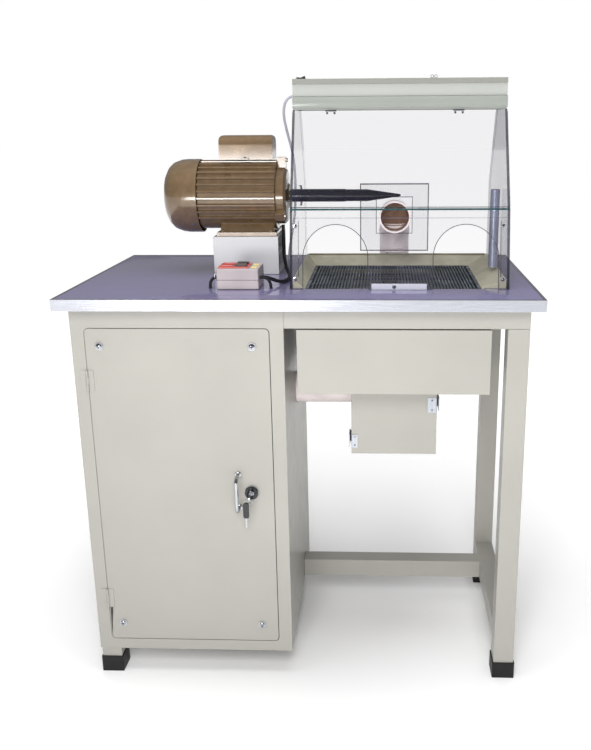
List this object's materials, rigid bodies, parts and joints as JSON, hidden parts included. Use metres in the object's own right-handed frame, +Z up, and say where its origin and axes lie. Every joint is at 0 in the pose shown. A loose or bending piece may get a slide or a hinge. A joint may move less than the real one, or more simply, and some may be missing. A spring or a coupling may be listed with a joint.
{
  "type": "jewellery polishing bench",
  "caption": "Steel polishing bench with a lockable cabinet, a motor with a tapered spindle, a clear dust hood with hand holes and a lamp, and a dust chamber with a blower.",
  "frame": {"origin": "on the floor, under the middle of the table top", "axes": "+Z up, -Y towards the person at the bench, +X to that person's right"},
  "size_m": [1, 0.613, 1.3277],
  "materials": {
    "greige_paint": "semi-gloss",
    "foot_rubber": "matte",
    "laminate": "gloss",
    "edge_metal": "bright",
    "clear_acrylic": "polished",
    "bronze_paint": "gloss",
    "black_enamel": "gloss",
    "bright_steel": "satin",
    "chrome": "polished",
    "winding_steel": "varnished",
    "white_paint": "semi-gloss",
    "lamp_paint": "satin",
    "lamp_glass": "opal",
    "pvc": "satin",
    "tray_paint": "satin",
    "grating_paint": "satin",
    "switch_plastic": "satin",
    "stop_plastic": "gloss",
    "start_plastic": "gloss",
    "black_plastic": "gloss",
    "cable_black": "satin",
    "cable_pale": "satin",
    "blower_paint": "satin",
    "impeller_metal": "satin"
  },
  "bodies": {
    "bench": {"leg_front_left": "greige_paint", "leg_front_right": "greige_paint", "leg_rear_left": "greige_paint", "leg_rear_right": "greige_paint", "top_frame": "greige_paint", "stretcher": "greige_paint", "cabinet_carcass": "greige_paint", "dust_chamber": "greige_paint", "foot_front_left": "foot_rubber", "foot_front_right": "foot_rubber", "foot_rear_left": "foot_rubber", "foot_rear_right": "foot_rubber", "table_top": "laminate", "edge_trim": "edge_metal", "panel_bracket": "edge_metal", "motor_stand": "white_paint", "motor_housing": "bronze_paint", "end_bell": "bronze_paint", "fan_cover": "bronze_paint", "capacitor_box": "bronze_paint", "stator": "winding_steel", "switch_case": "switch_plastic", "hood_side_left": "clear_acrylic", "hood_side_right": "clear_acrylic", "hood_rear": "clear_acrylic", "cover_plate": "clear_acrylic", "hood_front": "clear_acrylic", "header_strip": "clear_acrylic", "lamp_housing": "lamp_paint", "lamp_tube": "lamp_glass", "pipe_elbow": "pvc", "suction_pipe": "pvc", "suction_duct": "pvc", "dust_tray": "tray_paint", "tool_tube": "bright_steel", "blower_housing": "blower_paint", "lamp_cable": "cable_pale", "motor_cable": "cable_black", "supply_cable": "cable_black", "blower_cable": "cable_black"},
    "door": {"cabinet_door": "greige_paint", "door_handle": "chrome", "lock_barrel": "black_enamel"},
    "key": {"lock_key": "chrome"},
    "spare": {"spare_key": "black_plastic"},
    "rotor": {"rotor_shaft": "bright_steel", "cooling_fan": "black_plastic", "spindle_sleeve": "black_enamel", "taper_spindle": "black_enamel"},
    "impeller": {"blower_impeller": "impeller_metal"},
    "lid": {"hood_lid": "clear_acrylic"},
    "lamp_key": {"lamp_rocker": "black_plastic"},
    "start_motor": {"start_button_motor": "start_plastic"},
    "stop_motor": {"stop_button_motor": "stop_plastic"},
    "start_blower": {"start_button_blower": "start_plastic"},
    "stop_blower": {"stop_button_blower": "stop_plastic"},
    "dust_grating": {"grating": "grating_paint"},
    "box_cover": {"dust_box_cover": "greige_paint"},
    "upper_latch": {"latch_upper": "bright_steel"},
    "lower_latch": {"latch_lower": "bright_steel"}
  },
  "joints": [
    {"name": "door_hinge", "type": "hinge", "parent": "bench", "child": "door", "pos_m": [-0.447, -0.275, 0.45], "axis": [0, 0, -1], "range_deg": [0, 170]},
    {"name": "lock_turn", "type": "hinge", "parent": "door", "child": "key", "pos_m": [-0.1085, -0.272, 0.457], "axis": [0, -1, 0], "range_deg": [0, 90]},
    {"name": "spare_key_swing", "type": "hinge", "parent": "key", "child": "spare", "pos_m": [-0.1085, -0.307, 0.457], "axis": [1, 0, 0], "range_deg": [-60, 15]},
    {"name": "spindle_spin", "type": "hinge", "parent": "bench", "child": "rotor", "pos_m": [0, 0.075, 1.064], "axis": [1, 0, 0], "continuous": true},
    {"name": "blower_spin", "type": "hinge", "parent": "bench", "child": "impeller", "pos_m": [-0.1, -0.02, 0.62], "axis": [1, 0, 0], "continuous": true},
    {"name": "lid_hinge", "type": "hinge", "parent": "bench", "child": "lid", "pos_m": [0.2085, -0.049, 1.258], "axis": [-1, 0, 0], "range_deg": [0, 150]},
    {"name": "lamp_switch", "type": "hinge", "parent": "bench", "child": "lamp_key", "pos_m": [-0.0055, -0.027, 1.3225], "axis": [0, 1, 0], "range_deg": [0, 16]},
    {"name": "start_motor_press", "type": "slide", "parent": "bench", "child": "start_motor", "axis": [0, 0, -1], "range_m": [0, 0.003]},
    {"name": "stop_motor_press", "type": "slide", "parent": "bench", "child": "stop_motor", "axis": [0, 0, -1], "range_m": [-0.003, 0]},
    {"name": "start_blower_press", "type": "slide", "parent": "bench", "child": "start_blower", "axis": [0, 0, -1], "range_m": [0, 0.003]},
    {"name": "stop_blower_press", "type": "slide", "parent": "bench", "child": "stop_blower", "axis": [0, 0, -1], "range_m": [-0.003, 0]},
    {"name": "grating_lift", "type": "slide", "parent": "bench", "child": "dust_grating", "axis": [0, 0, 1], "range_m": [0, 0.04]},
    {"name": "box_cover_pull", "type": "slide", "parent": "bench", "child": "box_cover", "axis": [0, -1, 0], "range_m": [0, 0.08]},
    {"name": "upper_latch_turn", "type": "hinge", "parent": "bench", "child": "upper_latch", "pos_m": [0.296, -0.172, 0.637], "axis": [0, 0, 1], "range_deg": [0, 100]},
    {"name": "lower_latch_turn", "type": "hinge", "parent": "bench", "child": "lower_latch", "pos_m": [0.103, -0.172, 0.553], "axis": [0, 0, -1], "range_deg": [0, 100]}
  ],
  "couplings": [
    {"joint": "stop_motor_press", "follows": "start_motor_press", "ratio": -1},
    {"joint": "stop_blower_press", "follows": "start_blower_press", "ratio": -1}
  ]
}
